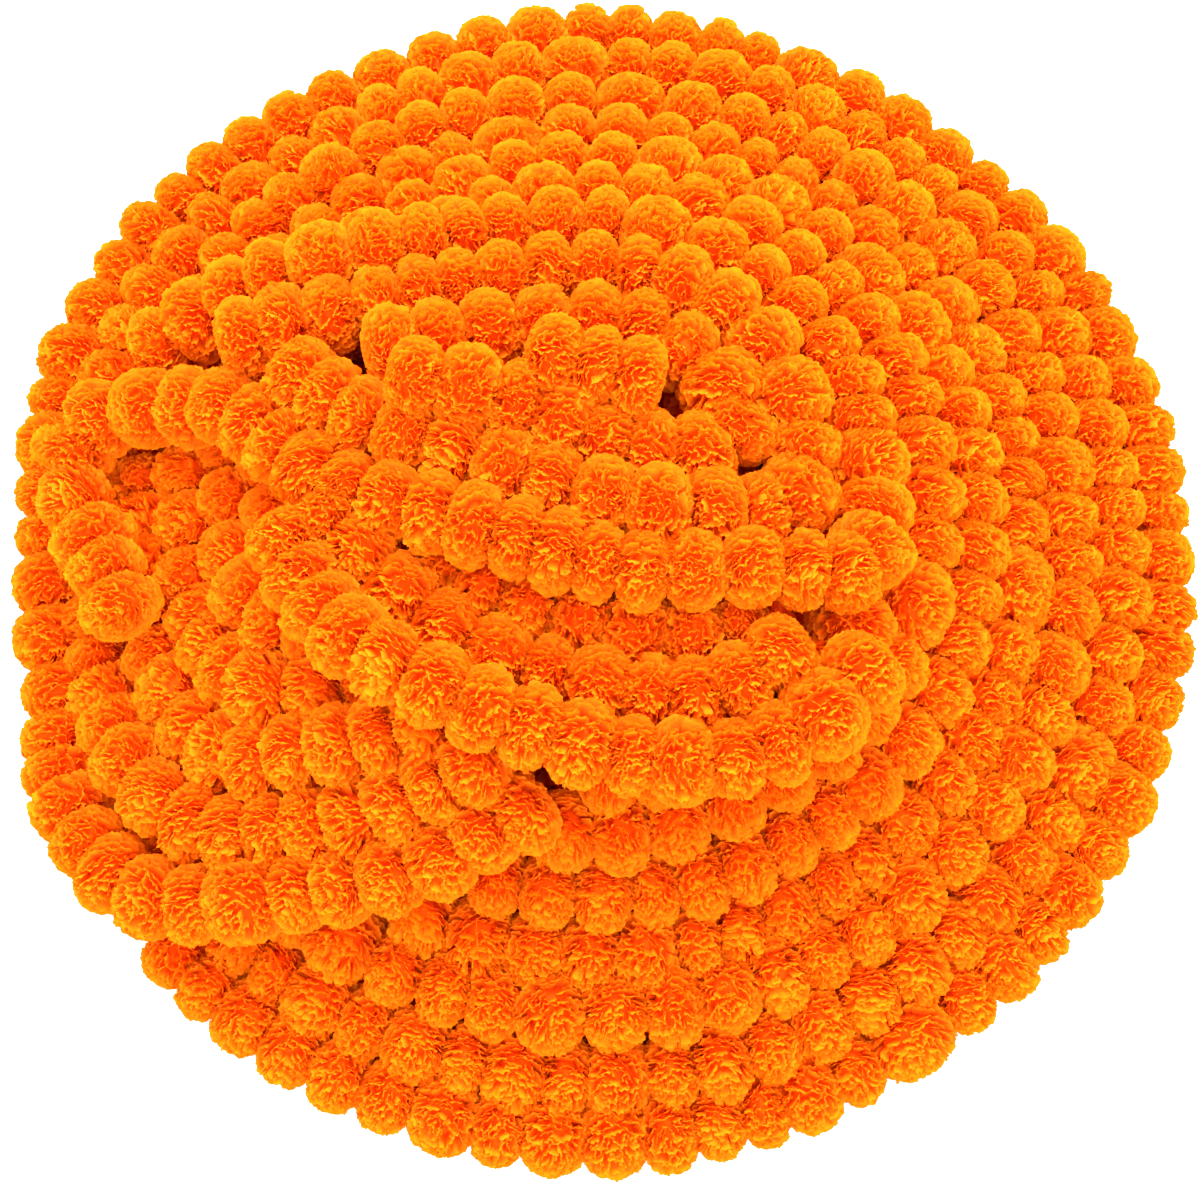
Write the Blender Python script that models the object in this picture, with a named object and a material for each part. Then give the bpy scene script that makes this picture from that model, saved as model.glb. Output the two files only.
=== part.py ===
"""A heap of marigold garland: strung flower heads coiled into a low round dome, with folded upper turns."""
import math
import random

import bpy
import numpy as np
from mathutils import Vector
from mathutils.bvhtree import BVHTree

# ---------------------------------------------------------------- sizes, in metres
BLOOM_PITCH = 0.0350
BLOOM_HALF_WIDTH = 0.0240
BLOOM_HALF_HEIGHT = 0.0280
CORE_PITCH = 0.062
CORE_RADIUS = 0.0255
HEAP_HALF_WIDTH = 0.405
HEAP_HALF_DEPTH_FRONT = 0.432
HEAP_HALF_DEPTH_BACK = 0.440
RESTING_GAP = 0.0006
START_ABOVE = 0.060
SINK = 0.017
STEP_BETWEEN = 0.009
NECK_SHARE = 0.70
FLOOR_FLAT = 0.0075
# What puts the origin under the middle of the whole heap.
HEAP_SHIFT = (-0.0016, -0.00096, 0.0)

# Height of the string above the ground against the share of the way out to the lowest turn.
DOME_PROFILE = (
    (0.000, 0.210), (0.250, 0.205), (0.440, 0.190), (0.555, 0.164), (0.640, 0.135), (0.725, 0.106),
    (0.815, 0.080), (0.910, 0.055), (1.000, 0.027), (1.120, 0.027),
)

# How far the lowest turn stands out of a true ellipse, by bearing in degrees.
RIM_SHAPE = (
    (-180, 0.988), (-150, 1.000), (-135, 0.995), (-110, 0.978), (-60, 0.970), (-40, 0.985), (-20, 1.005),
    (15, 1.005), (30, 0.998), (45, 0.970), (70, 0.958), (90, 0.962), (115, 0.966), (130, 0.988), (145, 1.018),
    (160, 1.030), (172, 1.008), (180, 0.988),
)

# The coiled turns: name, share of the full radius, and the bearings in degrees of their two ends.
COILED_TURNS = (
    ("turn_1", 1.000, 196, -142),
    ("turn_2", 0.910, 194, -157),
    ("turn_3", 0.815, 192, -134),
    ("turn_4", 0.725, 190, -122),
    ("turn_5", 0.640, 190, -112),
    ("turn_6", 0.555, 186, -98),
    ("turn_7", 0.480, -22, -97),
)

# The folded upper layers: name, half the width of their blooms, and (x, y, lift over the dome) points.
FOLDED_STRANDS = (
    ("lower_fold_edge", 0.0240, (
        (-0.036, -0.225, 0.050), (-0.072, -0.239, 0.052), (-0.112, -0.259, 0.052),
        (-0.160, -0.267, 0.050), (-0.205, -0.270, 0.050), (-0.252, -0.272, 0.050), (-0.300, -0.268, 0.052),
        (-0.338, -0.247, 0.052), (-0.368, -0.208, 0.040), (-0.384, -0.162, 0.018), (-0.390, -0.122, 0.000))),
    ("lower_fold_second", 0.0225, (
        (-0.066, -0.196, 0.034), (-0.111, -0.213, 0.042), (-0.165, -0.225, 0.048),
        (-0.215, -0.226, 0.046), (-0.258, -0.226, 0.046), (-0.298, -0.205, 0.044), (-0.328, -0.170, 0.034),
        (-0.345, -0.132, 0.016), (-0.354, -0.098, 0.000))),
    ("lower_fold_third", 0.0236, (
        (-0.104, -0.172, 0.022), (-0.150, -0.181, 0.034), (-0.200, -0.181, 0.042), (-0.243, -0.179, 0.040),
        (-0.276, -0.155, 0.028), (-0.300, -0.116, 0.014), (-0.317, -0.076, 0.000))),
    ("lower_fold_fourth", 0.0232, (
        (-0.146, -0.136, 0.012), (-0.196, -0.139, 0.026), (-0.238, -0.130, 0.026), (-0.265, -0.099, 0.016),
        (-0.283, -0.057, 0.000))),
    ("lower_fold_fifth", 0.0225, ((-0.170, -0.098, 0.016), (-0.208, -0.096, 0.016), (-0.232, -0.080, 0.012), (-0.250, -0.046, 0.004))),
    ("middle_fold_inner", 0.0225, (
        (-0.120, -0.047, 0.016), (-0.088, -0.070, 0.020), (-0.048, -0.089, 0.020), (-0.018, -0.098, 0.020),
        (0.012, -0.105, 0.020), (0.040, -0.111, 0.020), (0.064, -0.112, 0.018), (0.088, -0.104, 0.014),
        (0.108, -0.090, 0.010))),
    ("middle_fold_middle", 0.0225, (
        (-0.171, -0.050, 0.014), (-0.146, -0.075, 0.018), (-0.114, -0.103, 0.024), (-0.089, -0.117, 0.026),
        (-0.065, -0.129, 0.026), (-0.034, -0.140, 0.026), (0.000, -0.149, 0.026), (0.028, -0.156, 0.026),
        (0.055, -0.158, 0.026), (0.080, -0.155, 0.024), (0.099, -0.147, 0.022), (0.118, -0.134, 0.018),
        (0.134, -0.117, 0.014))),
    ("middle_fold_edge", 0.0232, (
        (-0.218, -0.034, 0.022), (-0.205, -0.064, 0.034), (-0.187, -0.098, 0.040), (-0.165, -0.124, 0.042),
        (-0.139, -0.143, 0.042),
        (-0.110, -0.160, 0.042), (-0.082, -0.173, 0.042), (-0.048, -0.184, 0.042), (-0.013, -0.195, 0.042),
        (0.022, -0.203, 0.042), (0.056, -0.206, 0.040), (0.090, -0.202, 0.038), (0.121, -0.190, 0.034),
        (0.149, -0.171, 0.030), (0.171, -0.148, 0.024), (0.184, -0.126, 0.018))),
    ("top_fold_outer", 0.0240, (
        (-0.329, -0.083, 0.062), (-0.344, -0.046, 0.062), (-0.362, -0.006, 0.058), (-0.377, 0.030, 0.054),
        (-0.379, 0.058, 0.050), (-0.360, 0.078, 0.050), (-0.326, 0.080, 0.050), (-0.286, 0.070, 0.050),
        (-0.252, 0.058, 0.050), (-0.220, 0.026, 0.050), (-0.185, -0.006, 0.050), (-0.132, -0.030, 0.050),
        (-0.078, -0.050, 0.048), (-0.046, -0.060, 0.048), (-0.010, -0.072, 0.048), (0.036, -0.081, 0.048),
        (0.085, -0.076, 0.045), (0.128, -0.075, 0.040), (0.168, -0.072, 0.032), (0.186, -0.044, 0.022),
        (0.184, -0.005, 0.014), (0.181, 0.030, 0.012), (0.172, 0.065, 0.012), (0.158, 0.098, 0.012),
        (0.135, 0.130, 0.012), (0.108, 0.155, 0.012), (0.078, 0.175, 0.012), (0.035, 0.192, 0.012),
        (-0.007, 0.202, 0.012), (-0.050, 0.198, 0.014), (-0.108, 0.184, 0.022), (-0.165, 0.172, 0.034),
        (-0.230, 0.160, 0.046), (-0.285, 0.145, 0.050), (-0.330, 0.124, 0.050))),
    ("top_fold_second", 0.0225, (
        (-0.262, 0.106, 0.050), (-0.215, 0.118, 0.044), (-0.160, 0.128, 0.034), (-0.105, 0.140, 0.026),
        (-0.050, 0.152, 0.020), (-0.004, 0.156, 0.020), (0.040, 0.147, 0.020), (0.082, 0.125, 0.020),
        (0.112, 0.093, 0.020), (0.131, 0.053, 0.020), (0.138, 0.012, 0.022), (0.128, -0.024, 0.030),
        (0.088, -0.032, 0.038), (0.038, -0.036, 0.044), (-0.004, -0.027, 0.046), (-0.056, -0.007, 0.046),
        (-0.112, 0.014, 0.046), (-0.158, 0.034, 0.046), (-0.192, 0.060, 0.046), (-0.218, 0.084, 0.048))),
    ("top_fold_third", 0.0220, (
        (-0.158, 0.082, 0.034), (-0.108, 0.095, 0.030), (-0.055, 0.107, 0.028), (-0.005, 0.110, 0.028),
        (0.036, 0.101, 0.028), (0.070, 0.078, 0.028), (0.090, 0.045, 0.030), (0.088, 0.015, 0.034),
        (0.044, 0.009, 0.038), (-0.002, 0.018, 0.040), (-0.050, 0.038, 0.040), (-0.098, 0.050, 0.040),
        (-0.142, 0.056, 0.040))),
    ("top_fold_centre", 0.0205, ((0.040, 0.052, 0.034), (-0.002, 0.062, 0.034), (-0.048, 0.074, 0.034))),
)

# The plain buried turns that carry the dome: name, half width, half depth and middle (y) of the loop,
# and the height of its string.
BURIED_TURNS = (
    ("buried_turn_1", 0.324, 0.347, 0.003, 0.026),
    ("buried_turn_2", 0.237, 0.254, 0.002, 0.026),
    ("buried_turn_3", 0.162, 0.174, 0.000, 0.026),
    ("buried_turn_4", 0.078, 0.083, 0.000, 0.026),
    ("buried_turn_5", 0.237, 0.254, 0.002, 0.078),
    ("buried_turn_6", 0.162, 0.174, 0.000, 0.078),
    ("buried_turn_7", 0.078, 0.083, 0.000, 0.078),
    ("buried_turn_8", 0.162, 0.172, 0.002, 0.130),
    ("buried_turn_9", 0.078, 0.078, 0.016, 0.130),
    ("buried_turn_10", 0.078, 0.070, 0.026, 0.182),
    ("buried_turn_11", 0.146, 0.148, 0.000, 0.170),
)


def rim_factor(bearing):
    """How far the heap stands out of the ellipse at this bearing in degrees."""
    turned = (bearing + 180.0) % 360.0 - 180.0
    return float(np.interp(turned, [row[0] for row in RIM_SHAPE], [row[1] for row in RIM_SHAPE]))


def heap_share(x, y):
    """The distance from the middle of the heap, as a share of the radius of the lowest turn."""
    half_depth = HEAP_HALF_DEPTH_BACK if y > 0 else HEAP_HALF_DEPTH_FRONT
    bearing = math.degrees(math.atan2(y / half_depth, x / HEAP_HALF_WIDTH))
    return math.hypot(x / HEAP_HALF_WIDTH, y / half_depth) / rim_factor(bearing)


def dome_height(x, y):
    """The height of the string of a turn that lies on the plain dome at this place."""
    shares = [row[0] for row in DOME_PROFILE]
    heights = [row[1] for row in DOME_PROFILE]
    return float(np.interp(heap_share(x, y), shares, heights))


def dome_normal(x, y):
    """The upward direction square to the dome, taken over a wide step so that it turns gently."""
    step = 0.030
    slope_x = (dome_height(x + step, y) - dome_height(x - step, y)) / (2 * step)
    slope_y = (dome_height(x, y + step) - dome_height(x, y - step)) / (2 * step)
    normal = np.array([-slope_x, -slope_y, 1.0])
    return normal / np.linalg.norm(normal)


def ellipse_point(share, bearing):
    """The (x, y) place of a turn at this bearing in degrees."""
    angle = math.radians(bearing)
    half_depth = HEAP_HALF_DEPTH_BACK if math.sin(angle) > 0 else HEAP_HALF_DEPTH_FRONT
    reach = share * rim_factor(bearing)
    return reach * HEAP_HALF_WIDTH * math.cos(angle), reach * half_depth * math.sin(angle)


def smooth_route(points):
    """A Catmull-Rom route through (x, y, lift) points, as many close steps."""
    given = np.array(points, float)
    held = np.vstack([2 * given[0] - given[1], given, 2 * given[-1] - given[-2]])
    steps = []
    for index in range(1, len(held) - 2):
        before, start, end, after = held[index - 1 : index + 3]
        for share in np.linspace(0.0, 1.0, 20, endpoint=False):
            linear = (end - before) * share
            square = (2 * before - 5 * start + 4 * end - after) * share**2
            cubic = (3 * start - before - 3 * end + after) * share**3
            steps.append(0.5 * (2 * start + linear + square + cubic))
    steps.append(held[-2])
    return np.array(steps)


def spaced_places(route, pitch, closed, rng):
    """The middles of the blooms along a route of (x, y, z) steps, with slightly uneven spacing."""
    if closed:
        route = np.vstack([route, route[:1]])
    lengths = np.concatenate([[0.0], np.cumsum(np.linalg.norm(np.diff(route, axis=0), axis=1))])
    count = max(3, round(lengths[-1] / pitch))
    even = lengths[-1] / count
    marks = []
    for index in range(count):
        marks.append((index + 0.5) * even + rng.uniform(-0.05, 0.05) * even)
    middles = np.stack([np.interp(marks, lengths, route[:, axis]) for axis in range(3)], axis=1)
    return middles


def frames_along(middles, closed):
    """For each bloom, the direction of its string, the way across it and the way up from the heap."""
    count = len(middles)
    frames = []
    for index in range(count):
        if closed:
            ahead = middles[(index + 1) % count]
            behind = middles[index - 1]
        else:
            ahead = middles[min(index + 1, count - 1)]
            behind = middles[max(index - 1, 0)]
        along = ahead - behind
        along = along / np.linalg.norm(along)
        up = dome_normal(middles[index][0], middles[index][1])
        up = up - along * float(up @ along)
        up = up / np.linalg.norm(up)
        across = np.cross(along, up)
        frames.append((along, across, up))
    return frames


def level_frames(middles, closed):
    """The same three directions for a string that lies level on the ground."""
    straight_up = np.array((0.0, 0.0, 1.0))
    frames = []
    for along, across, up in frames_along(middles, closed):
        level = np.array((along[0], along[1], 0.0))
        level = level / np.linalg.norm(level)
        frames.append((level, np.cross(level, straight_up), straight_up))
    return frames


def ruffled_rings(middles, frames, sides, half_width, half_height, pitch, flat_base, rng):
    """For each bloom two petalled rings of points round the string, and the neck that follows it."""
    rings = []
    owners = []
    for index, middle in enumerate(middles):
        along, across, up = frames[index]
        size = rng.uniform(0.95, 1.0)
        turn = 0.0 if flat_base else rng.uniform(-0.2, 0.2)
        places = [(middle - along * 0.24 * pitch, 0), (middle + along * 0.24 * pitch, 1)]
        if index + 1 < len(middles):
            places.append(((middle + middles[index + 1]) / 2, 2))
        for place, kind in places:
            points = []
            half_step = 0.5 if kind == 1 and not flat_base else 0.0
            for side in range(sides):
                angle = 2 * math.pi * (side + 0.5 + half_step) / sides - math.pi / 2 + turn
                if kind == 2:
                    reach = NECK_SHARE
                else:
                    reach = size if (side + kind) % 2 == 0 else size * rng.uniform(0.84, 0.90)
                radius = reach / math.hypot(math.cos(angle) / half_width, math.sin(angle) / half_height)
                points.append(place + (across * math.cos(angle) + up * math.sin(angle)) * radius)
            rings.append(points)
            owners.append(index)
    return np.array(rings), owners


def plain_rings(middles, frames, radius):
    """For each bloom of a buried turn one ring of points round its middle, and one at the neck after it."""
    rings = []
    owners = []
    count = len(middles)
    for index, middle in enumerate(middles):
        along, across, up = frames[index]
        neck = (middle + middles[(index + 1) % count]) / 2
        for place, reach in ((middle, radius), (neck, NECK_SHARE * radius)):
            points = []
            for side in range(4):
                angle = 2 * math.pi * side / 4
                points.append(place + (across * math.cos(angle) + up * math.sin(angle)) * reach)
            rings.append(points)
            owners.append(index)
    return np.array(rings), owners


def faces_between(ring_count, sides, closed):
    """Triangles that join each ring of points to the next one, and cover the two ends of an open string."""
    faces = []
    for ring in range(ring_count if closed else ring_count - 1):
        after = (ring + 1) % ring_count
        for side in range(sides):
            beside = (side + 1) % sides
            corner_a = ring * sides + side
            corner_b = ring * sides + beside
            corner_c = after * sides + beside
            corner_d = after * sides + side
            faces.append((corner_a, corner_d, corner_b))
            faces.append((corner_b, corner_d, corner_c))
    if not closed:
        last = (ring_count - 1) * sides
        for side in range(1, sides - 1):
            faces.append((0, side, side + 1))
            faces.append((last, last + side + 1, last + side))
    return faces


def probe_points(rings, closed):
    """Points on the corners and along the edges of a string, each with the bloom that it belongs to."""
    rolled = np.roll(rings, -1, axis=1)
    following = np.roll(rings, -1, axis=0) if closed else np.concatenate([rings[1:], rings[-1:]])
    sets = [rings, (rings + rolled) / 2, rings * 0.67 + following * 0.33, rings * 0.33 + following * 0.67,
            (rings + np.roll(following, -1, axis=1)) / 2]
    return np.stack(sets, axis=1)


def shifted_blooms(rings, owner_of_ring, rises, closed):
    """Raise each bloom by its own amount, and the neck between two blooms by the larger of theirs."""
    moved = rings.copy()
    count = len(rises)
    for ring in range(len(rings)):
        owner = owner_of_ring[ring]
        following = owner_of_ring[(ring + 1) % len(rings)]
        rise = rises[owner]
        if following != owner and (closed or ring + 1 < len(rings)):
            rise = max(rise, rises[following % count])
        moved[ring, :, 2] += rise
    return moved


def settle(rings, owners, faces, closed, placed, lowest_drop):
    """Lower each bloom of a raised string until it rests on what lies under it, or has dropped as far as it may."""
    moved = rings.copy()
    count = max(owners) + 1
    owner_of_ring = np.array(owners)
    down = Vector((0.0, 0.0, -1.0))
    upward = Vector((0.0, 0.0, 1.0))
    sides = rings.shape[1]
    clearance = np.full(count, lowest_drop)
    probes = probe_points(moved, closed)
    for ring in range(len(moved)):
        owner = owner_of_ring[ring]
        for point in probes[ring].reshape(-1, 3):
            hit = placed["tree"].ray_cast(Vector(point), down)
            if hit[0] is not None:
                clearance[owner] = min(clearance[owner], hit[3] - RESTING_GAP)
    tree = BVHTree.FromPolygons([Vector(point) for point in moved.reshape(-1, 3)], faces)
    low = moved.reshape(-1, 3).min(axis=0) - 0.002
    high = moved.reshape(-1, 3).max(axis=0) + 0.002
    for point in placed["probes"]:
        if point[0] < low[0] or point[0] > high[0] or point[1] < low[1] or point[1] > high[1]:
            continue
        hit = tree.ray_cast(Vector(point), upward)
        if hit[0] is None:
            continue
        ring = min(hit[2] // (2 * sides), len(moved) - 1)
        for owner in {owner_of_ring[ring], owner_of_ring[(ring + 1) % len(moved)]}:
            clearance[owner] = min(clearance[owner], hit[3] - RESTING_GAP)
    eased = clearance.copy()
    for _ in range(12):
        for index in range(count):
            for step in (-1, 1):
                beside = (index + step) % count if closed else min(max(index + step, 0), count - 1)
                eased[index] = min(eased[index], eased[beside] + STEP_BETWEEN)
    moved = shifted_blooms(moved, owner_of_ring, -eased, closed)
    for _ in range(60):
        tree = BVHTree.FromPolygons([Vector(point) for point in moved.reshape(-1, 3)], faces)
        touching = set()
        for pair in tree.overlap(placed["tree"]):
            ring = min(pair[0] // (2 * sides), len(moved) - 1)
            touching.add(owner_of_ring[ring])
            touching.add(owner_of_ring[(ring + 1) % len(moved)])
        if not touching:
            break
        raised = np.zeros(count)
        for owner in touching:
            for step in (-1, 0, 1):
                beside = (owner + step) % count if closed else min(max(owner + step, 0), count - 1)
                raised[beside] = RESTING_GAP
        moved = shifted_blooms(moved, owner_of_ring, raised, closed)
    return moved


def add_placed(placed, rings, faces, closed):
    """Add a settled string to what the next strings rest on."""
    start = len(placed["points"])
    placed["points"].extend(Vector(point) for point in rings.reshape(-1, 3))
    placed["faces"].extend(tuple(start + corner for corner in face) for face in faces)
    placed["tree"] = BVHTree.FromPolygons(placed["points"], placed["faces"])
    placed["probes"].extend(probe_points(rings, closed).reshape(-1, 3))


def flatten_base(rings):
    """Press the underside of the lowest blooms flat on the ground."""
    pressed = rings.copy()
    heights = pressed[:, :, 2]
    heights[heights < FLOOR_FLAT] = 0.0
    return pressed


def make_material(name, color, roughness):
    """A plain Principled material."""
    material = bpy.data.materials.new(name)
    material.use_nodes = True
    shader = material.node_tree.nodes["Principled BSDF"]
    shader.inputs["Base Color"].default_value = (*color, 1.0)
    shader.inputs["Roughness"].default_value = roughness
    material.diffuse_color = (*color, 1.0)
    return material


def make_string(name, rings, faces, material, collection):
    """One closed body of fused blooms from its rings of points."""
    mesh = bpy.data.meshes.new(name)
    mesh.from_pydata([tuple(point) for point in rings.reshape(-1, 3) + np.array(HEAP_SHIFT)], [], faces)
    mesh.update()
    mesh.materials.append(material)
    body = bpy.data.objects.new(name, mesh)
    collection.objects.link(body)
    return body


# ---------------------------------------------------------------- build
for existing in list(bpy.data.objects):
    bpy.data.objects.remove(existing, do_unlink=True)

garland = bpy.data.collections.new("marigold_garland")
bpy.context.scene.collection.children.link(garland)
random_source = random.Random(20)
petals = make_material("marigold_petals", (0.95, 0.20, 0.006), 0.75)
shaded_petals = make_material("marigold_petals_shaded", (0.82, 0.10, 0.004), 0.80)

placed_so_far = {"points": [], "faces": [], "probes": [], "tree": None}
ground = [Vector((-1, -1, 0)), Vector((1, -1, 0)), Vector((1, 1, 0)), Vector((-1, 1, 0))]
placed_so_far["points"].extend(ground)
placed_so_far["faces"].append((0, 1, 2, 3))
placed_so_far["tree"] = BVHTree.FromPolygons(placed_so_far["points"], placed_so_far["faces"])


def lay_buried_turn(name, half_width, half_depth, middle_y, height):
    """Lay one plain closed turn inside the heap."""
    steps = []
    for bearing in range(0, 360, 5):
        angle = math.radians(bearing)
        steps.append((half_width * math.cos(angle), middle_y + half_depth * math.sin(angle), height + START_ABOVE))
    middles = spaced_places(np.array(steps), CORE_PITCH, True, random_source)
    frames = level_frames(middles, True)
    rings, owners = plain_rings(middles, frames, CORE_RADIUS)
    faces = faces_between(len(rings), 4, True)
    rings = settle(rings, owners, faces, True, placed_so_far, START_ABOVE + SINK)
    add_placed(placed_so_far, rings, faces, True)
    make_string(name, rings, faces, shaded_petals, garland)


def lay_string(name, route, sides, half_width, flat_base):
    """Lay one string of blooms along a route of (x, y, z) steps."""
    raised = route + np.array([0.0, 0.0, 0.0 if flat_base else START_ABOVE])
    middles = spaced_places(raised, BLOOM_PITCH, False, random_source)
    frames = level_frames(middles, False) if flat_base else frames_along(middles, False)
    rings, owners = ruffled_rings(
        middles, frames, sides, half_width, BLOOM_HALF_HEIGHT, BLOOM_PITCH, flat_base, random_source
    )
    faces = faces_between(len(rings), sides, False)
    if flat_base:
        rings = flatten_base(rings)
    else:
        rings = settle(rings, owners, faces, False, placed_so_far, START_ABOVE + SINK)
    add_placed(placed_so_far, rings, faces, False)
    make_string(name, rings, faces, petals, garland)


def turn_route(share, start, end):
    """The (x, y, z) steps of a coiled turn on the dome, going round from one bearing down to the other."""
    steps = []
    for bearing in np.arange(start, end, -3.0):
        x, y = ellipse_point(share, bearing)
        steps.append((x, y, dome_height(x, y)))
    return np.array(steps)


def folded_route(points):
    """The (x, y, z) steps of a folded string above the dome."""
    steps = []
    for x, y, lift in smooth_route(points):
        steps.append((x, y, dome_height(x, y) + lift))
    return np.array(steps)


turns = {row[0]: row[1:] for row in COILED_TURNS}
buried = {row[0]: row[1:] for row in BURIED_TURNS}
lay_string("turn_1", turn_route(*turns["turn_1"]), 6, BLOOM_HALF_WIDTH, True)
for buried_name in ("buried_turn_1", "buried_turn_2", "buried_turn_3", "buried_turn_4", "buried_turn_5",
                    "buried_turn_6", "buried_turn_7", "buried_turn_8", "buried_turn_9", "buried_turn_10",
                    "buried_turn_11"):
    lay_buried_turn(buried_name, *buried[buried_name])
for turn_name in ("turn_2", "turn_3", "turn_4", "turn_5", "turn_6", "turn_7"):
    lay_string(turn_name, turn_route(*turns[turn_name]), 5, BLOOM_HALF_WIDTH, False)
for folded_name, folded_half_width, folded_points in FOLDED_STRANDS:
    lay_string(folded_name, folded_route(folded_points), 6, folded_half_width, False)
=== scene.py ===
"""A heap of marigold garland dressed in petals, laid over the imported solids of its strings."""

import math

import bpy
import numpy as np
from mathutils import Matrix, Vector
from mathutils.bvhtree import BVHTree


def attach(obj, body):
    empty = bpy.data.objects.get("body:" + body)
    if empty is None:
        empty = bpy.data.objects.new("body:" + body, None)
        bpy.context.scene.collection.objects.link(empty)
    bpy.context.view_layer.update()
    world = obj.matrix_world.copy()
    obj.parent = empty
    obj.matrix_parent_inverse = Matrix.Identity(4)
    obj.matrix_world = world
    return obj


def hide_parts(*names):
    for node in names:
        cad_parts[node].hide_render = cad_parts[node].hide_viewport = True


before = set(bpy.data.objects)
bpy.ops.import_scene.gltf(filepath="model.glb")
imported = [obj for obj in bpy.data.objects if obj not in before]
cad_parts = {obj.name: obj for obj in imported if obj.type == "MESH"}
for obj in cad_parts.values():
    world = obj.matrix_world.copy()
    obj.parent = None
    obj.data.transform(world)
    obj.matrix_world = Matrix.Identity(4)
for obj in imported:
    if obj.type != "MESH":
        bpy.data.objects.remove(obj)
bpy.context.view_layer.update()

# ---------------------------------------------------------------- sizes, in metres
# How much string one head takes up, where all heads take up the same.
TURN_PITCH = 0.0372
FOLD_PITCH = 0.0345
BURIED_PITCH = 0.036
# The stretch of string of one head, as a share of that. A few heads are wider still.
STRETCH_RANGE = (0.80, 1.20)
WIDE_HEAD_CHANCE = 0.06
WIDE_HEAD_STRETCH = 1.35
FEWEST_HEADS = 3

# Half the length of a head as a share of its stretch of string, and half its width and height.
HEAD_LENGTH_SHARE = 0.585
HEAD_HALF_WIDTH = 0.0300
HEAD_HALF_HEIGHT = 0.0292
HEAD_SIZE_RANGE = (0.93, 1.05)
# A head is a plain ball at 2, and squarer above that.
HEAD_SQUARENESS = 2.4
CORE_SHARE = 0.74

# A flower faces between straight up from the heap and this way, with a tilt of its own.
FLOWER_FACING = (0.0, -0.82, 0.57)
UPWARD_SHARE = 0.35
TILT_SPREAD = 0.17
# A way that no flower faces, to measure turns round the flower from.
SIDE_HINT = (0.31, 0.95, 0.0)

# Petals in a visible head and in a buried one.
PETALS = 290
PETALS_BURIED = 50

# How far petals lean from the way the flower faces. The first three are in degrees, the rest in radians.
FARTHEST_PETAL = 126.0
LEAN_SLACK = 4
OPEN_PETAL = 85.0
LEAST_LEAN = 0.02
LEAN_SPREAD = 0.06
# Petals follow each other round the flower by the golden angle, nearly.
GOLDEN_ANGLE = math.pi * (3.0 - math.sqrt(5.0))
FULL_TURN = 6.28
TURN_SPREAD = 0.10

# Where petals end, as a share of the head's reach: how much it varies at the rim and at the middle.
END_SPREAD_RIM = 0.020
END_SPREAD_MIDDLE = 0.045
END_RANGE = (-1.6, 0.7)

# All petals spring from a point behind the middle of the head, by this share of its half width.
STALK_SHARE = 0.32
# A petal starts at the first share of its length, and its middle points are at the second.
ROOT_SHARE = 0.45
MIDDLE_SHARE = 0.78
MIDDLE_SIDES = (-0.42, 0.42)
# The edge of a petal: how far each point is to the side and back from its end, in shares of its width.
PETAL_EDGE = ((-0.50, -0.24), (-0.28, -0.03), (0.0, 0.0), (0.28, -0.03), (0.50, -0.24))

PETAL_WIDTH = 0.0092
WIDTH_RANGE = (0.82, 1.22)
RUFFLE = 0.0007
RUFFLE_RANGE = (0.5, 1.5)
WAVE_RANGE = (0.5, 1.3)
WAVE_ALONG = 0.45
CURL = 0.0010
CURL_RANGE = (-0.3, 1.7)
# Values that change with how open a petal is: at the flower's middle, and what the rim adds.
WIDTH_BY_OPENNESS = (0.66, 0.40)
RUFFLE_BY_OPENNESS = (1.30, -0.55)
TWIST_BY_OPENNESS = (0.95, -0.78)

# The colour attribute of a core, its place in the UV map, and how many places the veins start from. The
# core's colour lies between the petals' root and middle colours: painted shade seen through the gaps between
# petals.
CORE_SHADE = (0.35, 0.5, 0.5, 1.0)
CORE_UV = (0.5, 0.2)
VEIN_STARTS = 40

HEAP_HALF_WIDTH = 0.405
HEAP_HALF_DEPTH_FRONT = 0.432
HEAP_HALF_DEPTH_BACK = 0.440
HEAP_SHIFT = (-0.0016, -0.00096, 0.0)
SLOPE_STEP = 0.030
TURN_STEP_DEGREES = 3.0
LOOP_STEP_DEGREES = 5
FOLD_STEPS = 20
CLEAR_OF_HEAP = 1.0
SEED = 7

FLOOR_HALF = 4
LENS_MM = 99.0
SENSOR_MM = 36.0
CAMERA_PLACE = (0.0, -0.7703, 2.3254)
CAMERA_AIM = (0.0, 0.3090, -0.9511)
LIGHT_TARGET = (0.0, 0.0, 0.1)

# Height of the string above the ground against the share of the way out to the lowest turn.
DOME_PROFILE = (
    (0.000, 0.210), (0.250, 0.205), (0.440, 0.190), (0.555, 0.164), (0.640, 0.135), (0.725, 0.106),
    (0.815, 0.080), (0.910, 0.055), (1.000, 0.027), (1.120, 0.027),
)

# How far the lowest turn stands out of a true ellipse, by bearing in degrees.
RIM_SHAPE = (
    (-180, 0.988), (-150, 1.000), (-135, 0.995), (-110, 0.978), (-60, 0.970), (-40, 0.985), (-20, 1.005),
    (15, 1.005), (30, 0.998), (45, 0.970), (70, 0.958), (90, 0.962), (115, 0.966), (130, 0.988), (145, 1.018),
    (160, 1.030), (172, 1.008), (180, 0.988),
)

# The coiled turns: name, share of the full radius, and the bearings in degrees of their two ends.
COILED_TURNS = (
    ("turn_1", 1.000, 196, -142),
    ("turn_2", 0.910, 194, -157),
    ("turn_3", 0.815, 192, -134),
    ("turn_4", 0.725, 190, -122),
    ("turn_5", 0.640, 190, -112),
    ("turn_6", 0.555, 186, -103),
    ("turn_7", 0.480, -22, -97),
)

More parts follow.
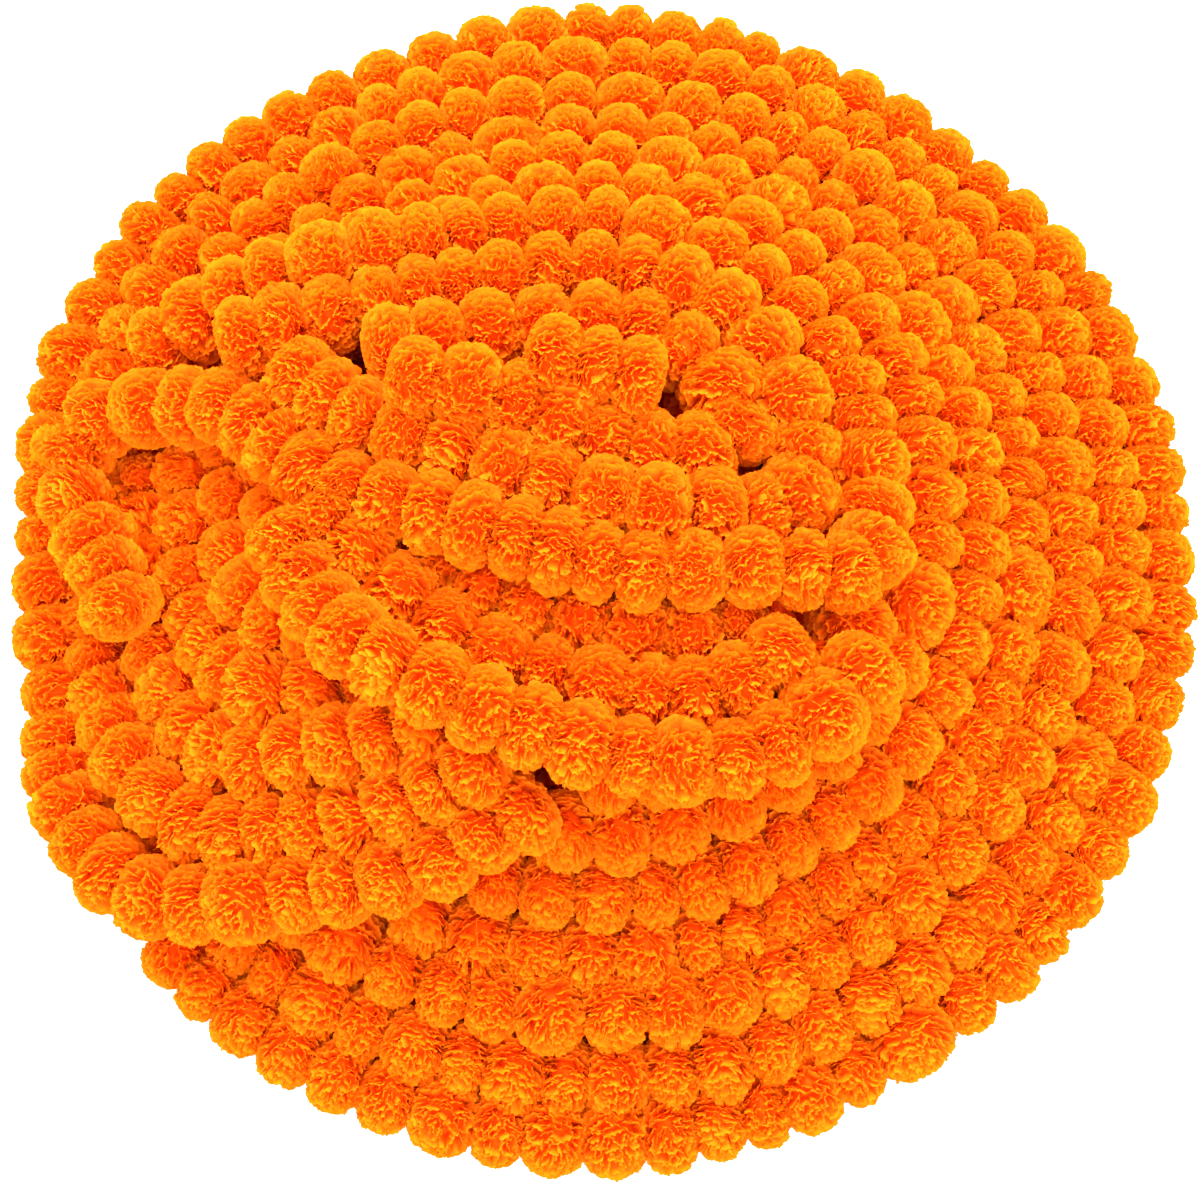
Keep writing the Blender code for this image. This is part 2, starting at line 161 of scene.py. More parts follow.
# The folded upper layers: name and (x, y, lift over the dome) points.
FOLDED_STRANDS = (
    ("lower_fold_edge", (
        (-0.036, -0.225, 0.050), (-0.072, -0.239, 0.052), (-0.112, -0.259, 0.052),
        (-0.160, -0.267, 0.050), (-0.205, -0.270, 0.050), (-0.252, -0.272, 0.050), (-0.300, -0.268, 0.052),
        (-0.338, -0.247, 0.052), (-0.368, -0.208, 0.040), (-0.384, -0.162, 0.018), (-0.390, -0.122, 0.000))),
    ("lower_fold_second", (
        (-0.066, -0.196, 0.034), (-0.111, -0.213, 0.042), (-0.165, -0.225, 0.048),
        (-0.215, -0.226, 0.046), (-0.258, -0.226, 0.046), (-0.298, -0.205, 0.044), (-0.328, -0.170, 0.034),
        (-0.345, -0.132, 0.016), (-0.354, -0.098, 0.000))),
    ("lower_fold_third", (
        (-0.104, -0.172, 0.022), (-0.150, -0.181, 0.034), (-0.200, -0.181, 0.042), (-0.243, -0.179, 0.040),
        (-0.276, -0.155, 0.028), (-0.300, -0.116, 0.014), (-0.317, -0.076, 0.000))),
    ("lower_fold_fourth", (
        (-0.146, -0.136, 0.012), (-0.196, -0.139, 0.026), (-0.238, -0.130, 0.026), (-0.265, -0.099, 0.016),
        (-0.283, -0.057, 0.000))),
    ("lower_fold_fifth", (
        (-0.170, -0.098, 0.016), (-0.208, -0.096, 0.016), (-0.232, -0.080, 0.012), (-0.250, -0.046, 0.004))),
    ("middle_fold_inner", (
        (-0.120, -0.047, 0.016), (-0.088, -0.070, 0.020), (-0.048, -0.089, 0.020), (-0.018, -0.098, 0.020),
        (0.012, -0.105, 0.020), (0.040, -0.111, 0.020), (0.064, -0.112, 0.018), (0.088, -0.104, 0.014),
        (0.108, -0.090, 0.010))),
    ("middle_fold_middle", (
        (-0.198, -0.024, 0.010), (-0.171, -0.050, 0.014), (-0.146, -0.075, 0.018), (-0.114, -0.103, 0.024),
        (-0.089, -0.117, 0.026), (-0.065, -0.129, 0.026), (-0.034, -0.140, 0.026), (0.000, -0.149, 0.026),
        (0.028, -0.156, 0.026), (0.055, -0.158, 0.026), (0.080, -0.155, 0.024), (0.099, -0.147, 0.022),
        (0.118, -0.134, 0.018), (0.134, -0.117, 0.014))),
    ("middle_fold_edge", (
        (-0.218, -0.034, 0.022), (-0.205, -0.064, 0.034), (-0.187, -0.098, 0.040), (-0.165, -0.124, 0.042),
        (-0.139, -0.143, 0.042), (-0.110, -0.160, 0.042), (-0.082, -0.173, 0.042), (-0.048, -0.184, 0.042),
        (-0.013, -0.195, 0.042), (0.022, -0.203, 0.042), (0.056, -0.206, 0.040), (0.090, -0.202, 0.038),
        (0.121, -0.190, 0.034), (0.149, -0.171, 0.030), (0.171, -0.148, 0.024), (0.184, -0.126, 0.018))),
    ("top_fold_outer", (
        (-0.329, -0.083, 0.062), (-0.344, -0.046, 0.062), (-0.362, -0.006, 0.058), (-0.377, 0.030, 0.054),
        (-0.379, 0.058, 0.050), (-0.360, 0.078, 0.050), (-0.326, 0.080, 0.050), (-0.286, 0.070, 0.050),
        (-0.252, 0.058, 0.050), (-0.220, 0.026, 0.050), (-0.185, -0.006, 0.050), (-0.132, -0.030, 0.050),
        (-0.078, -0.050, 0.048), (-0.046, -0.060, 0.048), (-0.010, -0.072, 0.048), (0.036, -0.081, 0.048),
        (0.085, -0.076, 0.045), (0.128, -0.075, 0.040), (0.168, -0.072, 0.032), (0.186, -0.044, 0.022),
        (0.184, -0.005, 0.014), (0.181, 0.030, 0.012), (0.172, 0.065, 0.012), (0.158, 0.098, 0.012),
        (0.135, 0.130, 0.012), (0.108, 0.155, 0.012), (0.078, 0.175, 0.012), (0.035, 0.192, 0.012),
        (-0.007, 0.202, 0.012), (-0.050, 0.198, 0.014), (-0.108, 0.184, 0.022), (-0.165, 0.172, 0.034),
        (-0.230, 0.160, 0.046), (-0.285, 0.145, 0.050), (-0.330, 0.124, 0.050))),
    ("top_fold_second", (
        (-0.262, 0.106, 0.050), (-0.215, 0.118, 0.044), (-0.160, 0.128, 0.034), (-0.105, 0.140, 0.026),
        (-0.050, 0.152, 0.020), (-0.004, 0.156, 0.020), (0.040, 0.147, 0.020), (0.082, 0.125, 0.020),
        (0.112, 0.093, 0.020), (0.131, 0.053, 0.020), (0.138, 0.012, 0.022), (0.128, -0.024, 0.030),
        (0.088, -0.032, 0.038), (0.038, -0.036, 0.044), (-0.004, -0.027, 0.046), (-0.056, -0.007, 0.046),
        (-0.112, 0.014, 0.046), (-0.158, 0.034, 0.046), (-0.192, 0.060, 0.046), (-0.218, 0.084, 0.048))),
    ("top_fold_third", (
        (-0.158, 0.082, 0.034), (-0.108, 0.095, 0.030), (-0.055, 0.107, 0.028), (-0.005, 0.110, 0.028),
        (0.036, 0.101, 0.028), (0.070, 0.078, 0.028), (0.090, 0.045, 0.030), (0.088, 0.015, 0.034),
        (0.044, 0.009, 0.038), (-0.002, 0.018, 0.040), (-0.050, 0.038, 0.040), (-0.098, 0.050, 0.040),
        (-0.142, 0.056, 0.040))),
    ("top_fold_centre", ((0.040, 0.052, 0.034), (-0.002, 0.062, 0.034), (-0.048, 0.074, 0.034))),
)

# The turns inside the heap: name, half width, half depth and middle (y) of the loop, and its height.
BURIED_TURNS = (
    ("buried_turn_1", 0.324, 0.347, 0.003, 0.026),
    ("buried_turn_2", 0.237, 0.254, 0.002, 0.026),
    ("buried_turn_3", 0.162, 0.174, 0.000, 0.026),
    ("buried_turn_4", 0.078, 0.083, 0.000, 0.026),
    ("buried_turn_5", 0.237, 0.254, 0.002, 0.078),
    ("buried_turn_6", 0.162, 0.174, 0.000, 0.078),
    ("buried_turn_7", 0.078, 0.083, 0.000, 0.078),
    ("buried_turn_8", 0.162, 0.172, 0.002, 0.130),
    ("buried_turn_9", 0.078, 0.078, 0.016, 0.130),
    ("buried_turn_10", 0.087, 0.070, 0.026, 0.182),
    ("buried_turn_11", 0.146, 0.148, 0.000, 0.170),
)


# ---------------------------------------------------------------- where the strings run
def rim_factor(bearing):
    """How far the heap stands out of the ellipse at this bearing in degrees."""
    turned = (bearing + 180.0) % 360.0 - 180.0
    return float(np.interp(turned, [row[0] for row in RIM_SHAPE], [row[1] for row in RIM_SHAPE]))


def dome_height(x, y):
    """The height of the string of a turn that lies on the plain dome at this place."""
    half_depth = HEAP_HALF_DEPTH_BACK if y > 0 else HEAP_HALF_DEPTH_FRONT
    bearing = math.degrees(math.atan2(y / half_depth, x / HEAP_HALF_WIDTH))
    share = math.hypot(x / HEAP_HALF_WIDTH, y / half_depth) / rim_factor(bearing)
    shares = [row[0] for row in DOME_PROFILE]
    heights = [row[1] for row in DOME_PROFILE]
    return float(np.interp(share, shares, heights))


def dome_normal(x, y):
    """The upward direction square to the dome, taken over a wide step so that it turns gently."""
    slope_x = (dome_height(x + SLOPE_STEP, y) - dome_height(x - SLOPE_STEP, y)) / (2 * SLOPE_STEP)
    slope_y = (dome_height(x, y + SLOPE_STEP) - dome_height(x, y - SLOPE_STEP)) / (2 * SLOPE_STEP)
    normal = np.array([-slope_x, -slope_y, 1.0])
    return normal / np.linalg.norm(normal)


def turn_route(share, start, end):
    """The (x, y, z) steps of a coiled turn on the dome, going round from one bearing down to the other."""
    steps = []
    for bearing in np.arange(start, end, -TURN_STEP_DEGREES):
        angle = math.radians(bearing)
        half_depth = HEAP_HALF_DEPTH_BACK if math.sin(angle) > 0 else HEAP_HALF_DEPTH_FRONT
        reach = share * rim_factor(bearing)
        x = reach * HEAP_HALF_WIDTH * math.cos(angle)
        y = reach * half_depth * math.sin(angle)
        steps.append((x, y, dome_height(x, y)))
    return np.array(steps)


def folded_route(points):
    """A Catmull-Rom route through (x, y, lift) points, lifted over the dome."""
    given = np.array(points, float)
    held = np.vstack([2 * given[0] - given[1], given, 2 * given[-1] - given[-2]])
    steps = []
    for index in range(1, len(held) - 2):
        before, start, end, after = held[index - 1 : index + 3]
        for share in np.linspace(0.0, 1.0, FOLD_STEPS, endpoint=False):
            linear = (end - before) * share
            square = (2 * before - 5 * start + 4 * end - after) * share**2
            cubic = (3 * start - before - 3 * end + after) * share**3
            steps.append(0.5 * (2 * start + linear + square + cubic))
    steps.append(held[-2])
    return np.array([(x, y, dome_height(x, y) + lift) for x, y, lift in steps])


def loop_route(half_width, half_depth, middle_y, height):
    """The (x, y, z) steps of a closed turn inside the heap."""
    steps = []
    for bearing in range(0, 361, LOOP_STEP_DEGREES):
        angle = math.radians(bearing)
        steps.append((half_width * math.cos(angle), middle_y + half_depth * math.sin(angle), height))
    return np.array(steps)


def spaced_places(route, pitch, rng):
    """The middles of the heads along a route, and the stretch of string that each head takes up."""
    lengths = np.concatenate([[0.0], np.cumsum(np.linalg.norm(np.diff(route, axis=0), axis=1))])
    count = max(FEWEST_HEADS, round(lengths[-1] / pitch))
    spans = rng.uniform(*STRETCH_RANGE, count)
    wide = rng.uniform(0.0, 1.0, count) < WIDE_HEAD_CHANCE
    spans[wide] *= WIDE_HEAD_STRETCH
    spans *= lengths[-1] / spans.sum()
    marks = np.cumsum(spans) - 0.5 * spans
    middles = np.stack([np.interp(marks, lengths, route[:, axis]) for axis in range(3)], axis=1)
    return middles, spans


def seated_places(node, middles):
    """The middles moved up or down to the middle of the string's own solid."""
    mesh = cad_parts[node].data
    points = [vertex.co.copy() for vertex in mesh.vertices]
    faces = [tuple(polygon.vertices) for polygon in mesh.polygons]
    tree = BVHTree.FromPolygons(points, faces)
    heights = np.full(len(middles), np.nan)
    for index, (x, y, z) in enumerate(middles):
        above = tree.ray_cast(Vector((x, y, CLEAR_OF_HEAP)), Vector((0.0, 0.0, -1.0)))
        below = tree.ray_cast(Vector((x, y, -CLEAR_OF_HEAP)), Vector((0.0, 0.0, 1.0)))
        if above[0] is not None and below[0] is not None:
            heights[index] = (above[0].z + below[0].z) / 2
    known = np.flatnonzero(~np.isnan(heights))
    heights = np.interp(np.arange(len(middles)), known, heights[known])
    padded = np.concatenate([heights[:1], heights, heights[-1:]])
    seated = middles.copy()
    seated[:, 2] = 0.25 * padded[:-2] + 0.5 * padded[1:-1] + 0.25 * padded[2:]
    return seated


def frames_along(middles, inside):
    """For each head, the direction of its string, the way across it and the way up from the heap.

    A turn inside the heap is a closed loop that lies level, and any other string is open.
    """
    ahead = np.roll(middles, -1, axis=0)
    behind = np.roll(middles, 1, axis=0)
    if not inside:
        ahead[-1] = middles[-1]
        behind[0] = middles[0]
    along = ahead - behind
    along /= np.linalg.norm(along, axis=1)[:, None]
    if inside:
        up = np.tile((0.0, 0.0, 1.0), (len(middles), 1))
    else:
        up = np.array([dome_normal(x, y) for x, y, z in middles])
    up -= along * (up * along).sum(axis=1)[:, None]
    up /= np.linalg.norm(up, axis=1)[:, None]
    across = np.cross(along, up)
    return along, across, up


# ---------------------------------------------------------------- petals
def unit(vectors):
    """Vectors scaled to length one."""
    return vectors / np.maximum(np.linalg.norm(vectors, axis=-1, keepdims=True), 1e-9)


def head_halves(spans):
    """Half the length, width and height of each head."""
    count = len(spans)
    return np.stack([
        HEAD_LENGTH_SHARE * spans, np.full(count, HEAD_HALF_WIDTH), np.full(count, HEAD_HALF_HEIGHT)
    ], axis=1)


def head_reach(directions, halves):
    """How far a head reaches from its middle in each direction: a ball flattened between its neighbours."""
    shares = np.abs(directions) / halves[:, None]
    return (shares**HEAD_SQUARENESS).sum(axis=-1) ** (-1.0 / HEAD_SQUARENESS)


def by_openness(values, openness):
    """A value that changes evenly from the petals at a flower's middle to those at its rim."""
    at_middle, added = values
    return at_middle + added * openness


def flower_ways(axes, rng):
    """The way each flower faces, in its head's own directions, and two ways square to it."""
    count = len(axes)
    facing = UPWARD_SHARE * axes[:, 2] + (1.0 - UPWARD_SHARE) * np.array(FLOWER_FACING)
    facing = facing + rng.normal(0.0, TILT_SPREAD, (count, 3))
    facing = unit(np.einsum("ncx,nx->nc", axes, facing))
    side_a = unit(np.cross(facing, np.tile(SIDE_HINT, (count, 1))))
    return facing, side_a, np.cross(facing, side_a)


def petal_ways(facing, side_a, side_b, petals, rng):
    """The way each petal points, the way round the flower there, and how far the petal leans."""
    count = len(facing)
    order = np.arange(petals)[None, :] + 0.5
    lowest = math.cos(math.radians(FARTHEST_PETAL))
    cosine = 1.0 - (1.0 - lowest) * order / petals
    lean = np.arccos(np.clip(cosine, -1.0, 1.0)) + rng.normal(0.0, LEAN_SPREAD, (count, petals))
    lean = np.clip(lean, LEAST_LEAN, math.radians(FARTHEST_PETAL + LEAN_SLACK))
    turn = order * GOLDEN_ANGLE + rng.uniform(0.0, FULL_TURN, (count, 1))
    turn = turn + rng.normal(0.0, TURN_SPREAD, (count, petals))
    direction = (
        np.cos(lean)[..., None] * facing[:, None]
        + np.sin(lean)[..., None] * np.cos(turn)[..., None] * side_a[:, None]
        + np.sin(lean)[..., None] * np.sin(turn)[..., None] * side_b[:, None]
    )
    around = unit(-np.sin(turn)[..., None] * side_a[:, None] + np.cos(turn)[..., None] * side_b[:, None])
    return direction, around, lean


def petal_points(halves, axes, petals, rng):
    """The petals of all heads of a string, as (head, petal, point, xyz) in each head's own directions.

    A petal has a pointed root, two points across its middle and a ruffled edge of five.
    """
    count = len(halves)
    facing, side_a, side_b = flower_ways(axes, rng)
    direction, around, lean = petal_ways(facing, side_a, side_b, petals, rng)
    openness = np.clip(lean / math.radians(OPEN_PETAL), 0.0, 1.0)
    size = rng.uniform(*HEAD_SIZE_RANGE, (count, 1))
    end_spread = END_SPREAD_RIM + END_SPREAD_MIDDLE * (1.0 - openness)
    end_share = 1.0 + end_spread * rng.uniform(*END_RANGE, (count, petals))
    ends = direction * (head_reach(direction, halves) * size * end_share)[..., None]

    # All petals spring from the stalk, which is behind the middle of the head.
    stalk = -STALK_SHARE * HEAD_HALF_WIDTH * facing[:, None]
    length = np.linalg.norm(ends - stalk, axis=-1)
    petal_way = unit(ends - stalk)
    rising = unit(np.cross(around, petal_way))
    twist = rng.normal(0.0, 1.0, (count, petals)) * by_openness(TWIST_BY_OPENNESS, openness)
    width_way = np.cos(twist)[..., None] * around + np.sin(twist)[..., None] * rising
    thick_way = np.cos(twist)[..., None] * rising - np.sin(twist)[..., None] * around

    width = PETAL_WIDTH * by_openness(WIDTH_BY_OPENNESS, openness)
    width = width * rng.uniform(*WIDTH_RANGE, (count, petals))
    ruffle = RUFFLE * by_openness(RUFFLE_BY_OPENNESS, openness)
    ruffle = ruffle * rng.uniform(*RUFFLE_RANGE, (count, petals))
    curl = CURL * (0.5 + np.sin(math.pi * openness)) * rng.uniform(*CURL_RANGE, (count, petals))

    points = np.zeros((count, petals, POINTS_PER_PETAL, 3))
    points[:, :, 0] = stalk + petal_way * (ROOT_SHARE * length)[..., None]
    middle = stalk + petal_way * (MIDDLE_SHARE * length)[..., None]
    for place, side in enumerate(MIDDLE_SIDES):
        points[:, :, 1 + place] = middle + width_way * (side * width)[..., None]
    first_up = rng.choice((-1.0, 1.0), (count, petals))
    for place, (side, fall) in enumerate(PETAL_EDGE):
        up_or_down = 1.0 if place % 2 == 0 else -1.0
        wave = first_up * ruffle * up_or_down * rng.uniform(*WAVE_RANGE, (count, petals))
        points[:, :, 3 + place] = (
            ends
            + width_way * (side * width)[..., None]
            + petal_way * (fall * width + WAVE_ALONG * wave)[..., None]
            + thick_way * (wave - curl)[..., None]
        )
    return points


# The triangles of a petal, how near its edge each of its points is, and their places in the UV map.
PETAL_FACES = np.array([(0, 2, 1), (1, 4, 3), (1, 5, 4), (1, 2, 5), (2, 6, 5), (2, 7, 6)])
PETAL_REACH = np.array((0.0, 0.62, 0.62, 1.0, 1.0, 1.0, 1.0, 1.0))
PETAL_UV = np.array((
    (0.5, 0.0), (0.1, 0.60), (0.9, 0.60), (0.0, 1.0), (0.25, 1.0), (0.5, 1.0), (0.75, 1.0), (1.0, 1.0)
))
POINTS_PER_PETAL = len(PETAL_REACH)


def core_shape():
    """A small many-sided ball, as unit points and faces."""
    golden = (1.0 + math.sqrt(5.0)) / 2.0
    points = []
    for a in (-1.0, 1.0):
        for b in (-golden, golden):
            points.extend([(0.0, a, b), (a, b, 0.0), (b, 0.0, a)])
    points = unit(np.array(points))
    edge = min(np.linalg.norm(points[0] - other) for other in points[1:])
    faces = []
    for i in range(12):
        for j in range(i + 1, 12):
            for k in range(j + 1, 12):
                sides = [np.linalg.norm(points[p] - points[q]) for p, q in ((i, j), (j, k), (i, k))]
                if max(sides) < edge * 1.01:
                    outward = np.cross(points[j] - points[i], points[k] - points[i]) @ points[i]
                    faces.append((i, j, k) if outward > 0 else (i, k, j))
    return points, np.array(faces)


CORE_POINTS, CORE_FACES = core_shape()


def add_mesh(name, points, faces, outward, colors, uvs, material):
    """A mesh object from arrays of points, triangles, and each point's outward way, colour and UV."""
    mesh = bpy.data.meshes.new(name)
    mesh.vertices.add(len(points))
    mesh.vertices.foreach_set("co", points.astype(np.float32).ravel())
    mesh.loops.add(faces.size)
    mesh.loops.foreach_set("vertex_index", faces.astype(np.int32).ravel())
    mesh.polygons.add(len(faces))
    mesh.polygons.foreach_set("loop_start", (np.arange(len(faces)) * 3).astype(np.int32))
    mesh.update(calc_edges=True)
    mesh.polygons.foreach_set("use_smooth", np.ones(len(faces), bool))
    layer = mesh.attributes.new("petal_shade", "FLOAT_COLOR", "POINT")
    layer.data.foreach_set("color", colors.astype(np.float32).ravel())
    way_layer = mesh.attributes.new("head_outward", "FLOAT_VECTOR", "POINT")
    way_layer.data.foreach_set("vector", outward.astype(np.float32).ravel())
    uv_layer = mesh.uv_layers.new(name="petal_uv")
    uv_layer.data.foreach_set("uv", uvs[faces.ravel()].astype(np.float32).ravel())
    mesh.materials.append(material)
    mesh.validate()
    body = bpy.data.objects.new(name, mesh)
    bpy.context.scene.collection.objects.link(body)
    return body


def dress_string(node, middles, spans, directions, petals, material, rng):
    """The flower heads of one string: petals round a small core in each head."""
    count = len(middles)
    halves = head_halves(spans)
    axes = np.stack(directions, axis=1)
    petal_offsets = np.einsum("npkc,ncx->npkx", petal_points(halves, axes, petals, rng), axes)
    petal_places = (petal_offsets + middles[:, None, None]).reshape(-1, 3)
    starts = np.arange(count * petals) * POINTS_PER_PETAL
    faces = (PETAL_FACES[None] + starts[:, None, None]).reshape(-1, 3)
    # Red is how near a point is to the petal's edge, which sets how deep its colour is (partly painted
    # crevice shade), green the petal's own tone, blue the head's.
    colors = np.ones((count, petals, POINTS_PER_PETAL, 4))
    colors[..., 0] = PETAL_REACH
    colors[..., 1] = rng.uniform(0.0, 1.0, (count, petals, 1))
    colors[..., 2] = rng.uniform(0.0, 1.0, (count, 1, 1))
    uvs = np.tile(PETAL_UV, (count * petals, 1))
    uvs[:, 0] += np.repeat(rng.integers(0, VEIN_STARTS, count * petals), POINTS_PER_PETAL)

    core_size = len(CORE_POINTS)
    core_local = CORE_POINTS[None] * halves[:, None] * CORE_SHARE
    core_offsets = np.einsum("nkc,ncx->nkx", core_local, axes)
    core_places = (core_offsets + middles[:, None]).reshape(-1, 3)
    core_starts = len(petal_places) + np.arange(count) * core_size
    core_faces = (CORE_FACES[None] + core_starts[:, None, None]).reshape(-1, 3)

    body = add_mesh(
        node + "_blooms",
        np.vstack([petal_places, core_places]),
        np.vstack([faces, core_faces]),
        np.vstack([unit(petal_offsets).reshape(-1, 3), unit(core_offsets).reshape(-1, 3)]),
        np.vstack([colors.reshape(-1, 4), np.tile(CORE_SHADE, (count * core_size, 1))]),
        np.vstack([uvs, np.tile(CORE_UV, (count * core_size, 1))]),
        material,
    )
    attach(body, "root")
    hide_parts(node)


def lay_string(node, route, pitch, inside, petals, material, rng):
    """Space the heads of one string along its route, seat them and dress them."""
    places, spans = spaced_places(route + np.array(HEAP_SHIFT), pitch, rng)
    places = seated_places(node, places)
    directions = frames_along(places, inside)
    dress_string(node, places, spans, directions, petals, material, rng)


# ---------------------------------------------------------------- materials
def petal_material(name, deep, middle, tip, pale):
    """Petals that run from a deep root to a bright edge, some paler than others, with fine veins. The deep
    root is partly the petals' own colour and partly painted shade for the crevices between them.
    """
    material = bpy.data.materials.new(name)
    material.use_nodes = True
    nodes = material.node_tree.nodes
    links = material.node_tree.links
    shader = nodes["Principled BSDF"]
    shader.inputs["Roughness"].default_value = 0.75
    shader.inputs["Specular IOR Level"].default_value = 0.06

    shade = nodes.new("ShaderNodeAttribute")
    shade.attribute_name = "petal_shade"
    parts = nodes.new("ShaderNodeSeparateColor")
    links.new(shade.outputs["Color"], parts.inputs["Color"])

    # Deeper red towards the root: partly the petals' own colour, partly painted shade in the crevices between
    # petals.
    ramp = nodes.new("ShaderNodeValToRGB")
    ramp.color_ramp.elements[0].position = 0.15
    ramp.color_ramp.elements[0].color = (*deep, 1.0)
    ramp.color_ramp.elements[1].position = 1.0
    ramp.color_ramp.elements[1].color = (*tip, 1.0)
    between = ramp.color_ramp.elements.new(0.60)
    between.color = (*middle, 1.0)
    links.new(parts.outputs["Red"], ramp.inputs["Fac"])

    # Each petal and each head is a little paler or deeper than the next.
    petal_share = nodes.new("ShaderNodeMath")
    petal_share.operation = "MULTIPLY_ADD"
    petal_share.inputs[1].default_value = 0.45
    petal_share.inputs[2].default_value = -0.08
    links.new(parts.outputs["Green"], petal_share.inputs[0])
    head_share = nodes.new("ShaderNodeMath")
    head_share.operation = "MULTIPLY_ADD"
    head_share.inputs[1].default_value = 0.35
    links.new(parts.outputs["Blue"], head_share.inputs[0])
    links.new(petal_share.outputs[0], head_share.inputs[2])
    paler = nodes.new("ShaderNodeMath")
    paler.operation = "MULTIPLY"
    paler.use_clamp = True
    links.new(head_share.outputs[0], paler.inputs[0])
    links.new(parts.outputs["Red"], paler.inputs[1])
    toned = nodes.new("ShaderNodeMix")
    toned.data_type = "RGBA"
    links.new(paler.outputs[0], toned.inputs["Factor"])
    links.new(ramp.outputs["Color"], toned.inputs["A"])
    toned.inputs["B"].default_value = (*pale, 1.0)

    # Fine veins along the petal.
    where = nodes.new("ShaderNodeUVMap")
    where.uv_map = "petal_uv"
    stretch = nodes.new("ShaderNodeMapping")
    stretch.inputs["Scale"].default_value = (9.0, 0.8, 1.0)
    links.new(where.outputs["UV"], stretch.inputs["Vector"])
    veins = nodes.new("ShaderNodeTexNoise")
    veins.inputs["Scale"].default_value = 1.6
    veins.inputs["Detail"].default_value = 3.0
    links.new(stretch.outputs["Vector"], veins.inputs["Vector"])
    vein_tone = nodes.new("ShaderNodeMapRange")
    vein_tone.inputs["From Min"].default_value = 0.30
    vein_tone.inputs["From Max"].default_value = 0.70
    vein_tone.inputs["To Min"].default_value = 0.86
    vein_tone.inputs["To Max"].default_value = 1.06
    links.new(veins.outputs["Fac"], vein_tone.inputs["Value"])
    streaked = nodes.new("ShaderNodeVectorMath")
    streaked.operation = "SCALE"
    links.new(toned.outputs["Result"], streaked.inputs[0])
    links.new(vein_tone.outputs["Result"], streaked.inputs["Scale"])
    links.new(streaked.outputs["Vector"], shader.inputs["Base Color"])

    # Light shines through a thin petal.
    through = nodes.new("ShaderNodeBsdfTranslucent")
    links.new(streaked.outputs["Vector"], through.inputs["Color"])
    both = nodes.new("ShaderNodeMixShader")
    both.inputs["Fac"].default_value = 0.35
    links.new(shader.outputs["BSDF"], both.inputs[1])
    links.new(through.outputs["BSDF"], both.inputs[2])
    links.new(both.outputs["Shader"], nodes["Material Output"].inputs["Surface"])

    # The curl inside each petal is finer than its faces, so its shade also follows the whole head.
    outward = nodes.new("ShaderNodeAttribute")
    outward.attribute_name = "head_outward"
    face = nodes.new("ShaderNodeNewGeometry")
    blended = nodes.new("ShaderNodeVectorMath")
    blended.operation = "ADD"
    links.new(face.outputs["Normal"], blended.inputs[0])
    links.new(outward.outputs["Vector"], blended.inputs[1])
    soft_way = nodes.new("ShaderNodeVectorMath")
    soft_way.operation = "NORMALIZE"
    links.new(blended.outputs["Vector"], soft_way.inputs[0])

    bump = nodes.new("ShaderNodeBump")
    links.new(soft_way.outputs["Vector"], bump.inputs["Normal"])
    bump.inputs["Strength"].default_value = 0.25
    bump.inputs["Distance"].default_value = 0.0004
    links.new(veins.outputs["Fac"], bump.inputs["Height"])
    links.new(bump.outputs["Normal"], shader.inputs["Normal"])
    return material


petals_lit = petal_material(
    "marigold_petals",
    (1.0, 0.055, 0.001), (1.0, 0.136, 0.001), (1.0, 0.198, 0.001), (1.0, 0.212, 0.001)
)
# A darker copy of the same petals for the buried turns: painted shade for the inside of the heap.
petals_painted_shade = petal_material(
    "marigold_petals_shaded",
    (1.0, 0.034, 0.001), (1.0, 0.084, 0.001), (1.0, 0.136, 0.001), (1.0, 0.152, 0.001)
)

# ---------------------------------------------------------------- the heap
random_source = np.random.default_rng(SEED)
for turn_name, *turn_shape in COILED_TURNS:
    turn_steps = turn_route(*turn_shape)
    lay_string(turn_name, turn_steps, TURN_PITCH, False, PETALS, petals_lit, random_source)
for fold_name, fold_points in FOLDED_STRANDS:
    fold_steps = folded_route(fold_points)
    lay_string(fold_name, fold_steps, FOLD_PITCH, False, PETALS, petals_lit, random_source)
for loop_name, *loop_shape in BURIED_TURNS:
    loop_steps = loop_route(*loop_shape)
    lay_string(
        loop_name, loop_steps, BURIED_PITCH, True, PETALS_BURIED, petals_painted_shade, random_source
    )


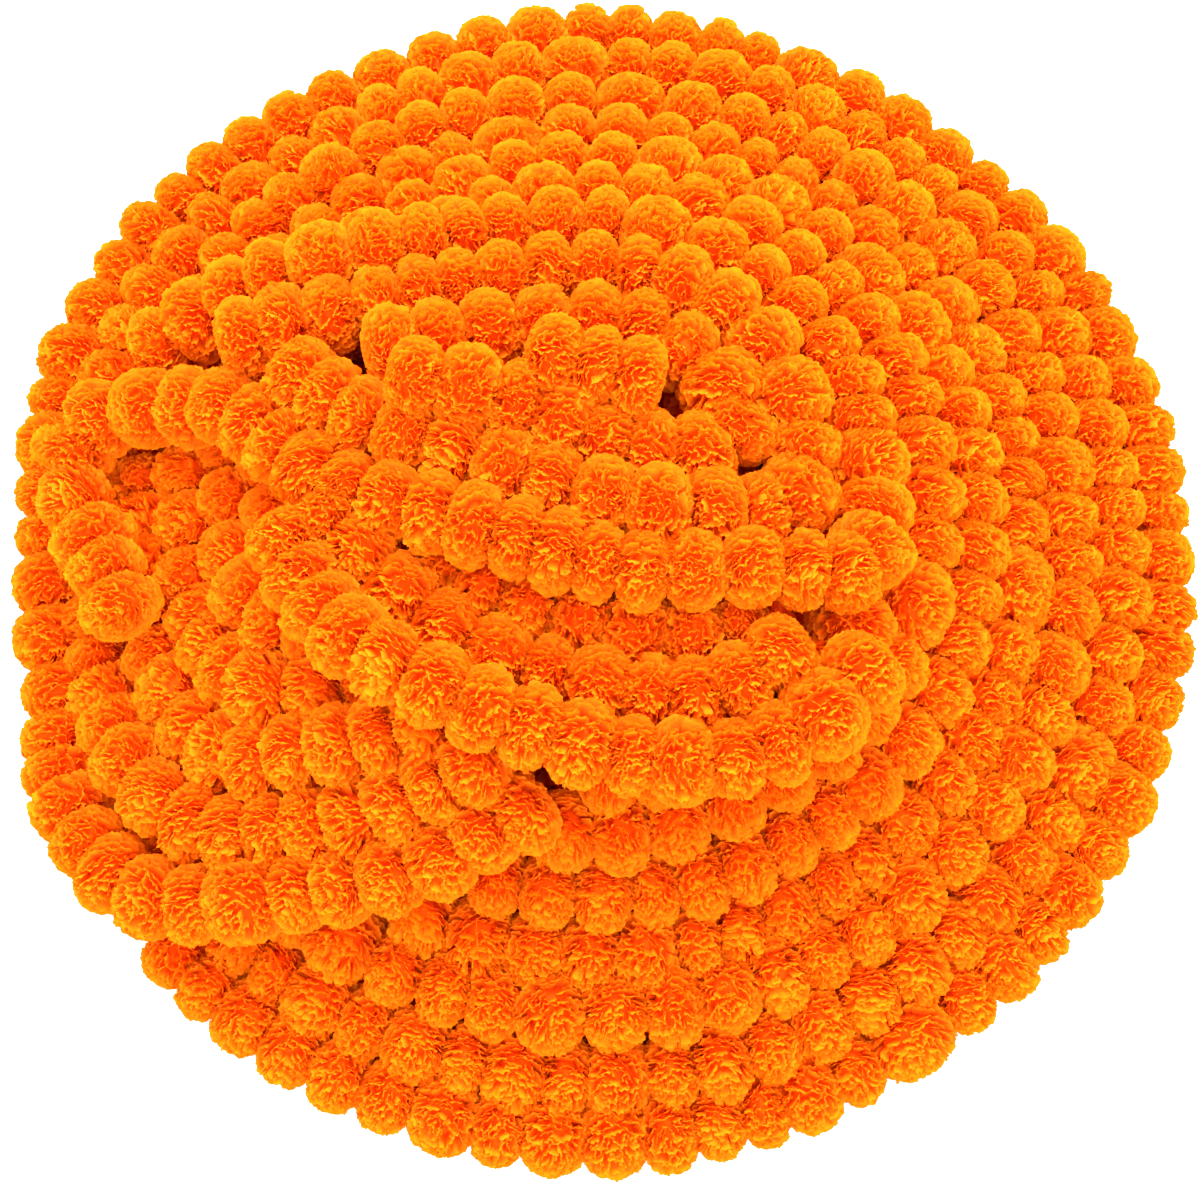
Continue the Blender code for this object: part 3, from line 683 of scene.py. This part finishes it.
# ---------------------------------------------------------------- floor, light and camera
floor_mesh = bpy.data.meshes.new("floor")
floor_corners = [
    (-FLOOR_HALF, -FLOOR_HALF, 0), (FLOOR_HALF, -FLOOR_HALF, 0),
    (FLOOR_HALF, FLOOR_HALF, 0), (-FLOOR_HALF, FLOOR_HALF, 0),
]
floor_mesh.from_pydata(floor_corners, [], [(0, 1, 2, 3)])
floor = bpy.data.objects.new("floor", floor_mesh)
bpy.context.scene.collection.objects.link(floor)
floor_material = bpy.data.materials.new("pale_floor")
floor_material.use_nodes = True
floor_shader = floor_material.node_tree.nodes["Principled BSDF"]
floor_shader.inputs["Base Color"].default_value = (0.86, 0.86, 0.86, 1.0)
floor_shader.inputs["Roughness"].default_value = 0.9
floor_mesh.materials.append(floor_material)

studio = bpy.context.scene.world or bpy.data.worlds.new("studio")
bpy.context.scene.world = studio
studio.use_nodes = True
studio.node_tree.nodes["Background"].inputs["Color"].default_value = (1.0, 1.0, 1.0, 1.0)
studio.node_tree.nodes["Background"].inputs["Strength"].default_value = 4.2


def soft_light(name, place, size, power):
    """A square soft light that points at the heap."""
    light = bpy.data.lights.new(name, "AREA")
    light.size = size
    light.energy = power
    lamp = bpy.data.objects.new(name, light)
    lamp.location = place
    lamp.rotation_euler = (Vector(LIGHT_TARGET) - Vector(place)).to_track_quat("-Z", "Y").to_euler()
    bpy.context.scene.collection.objects.link(lamp)


soft_light("key_above_behind", (-0.3, 1.3, 2.6), 1.6, 170.0)
soft_light("fill_front", (0.6, -2.2, 1.8), 2.0, 40.0)
bpy.context.scene.view_settings.view_transform = "Standard"

camera_data = bpy.data.cameras.new("camera")
camera_data.sensor_width = SENSOR_MM
camera_data.lens = LENS_MM
camera_data.clip_start = 0.05
camera_data.clip_end = 50.0
camera = bpy.data.objects.new("camera", camera_data)
camera.location = Vector(CAMERA_PLACE) + Vector(HEAP_SHIFT)
camera.rotation_euler = Vector(CAMERA_AIM).to_track_quat("-Z", "Y").to_euler()
bpy.context.scene.collection.objects.link(camera)
bpy.context.scene.camera = camera
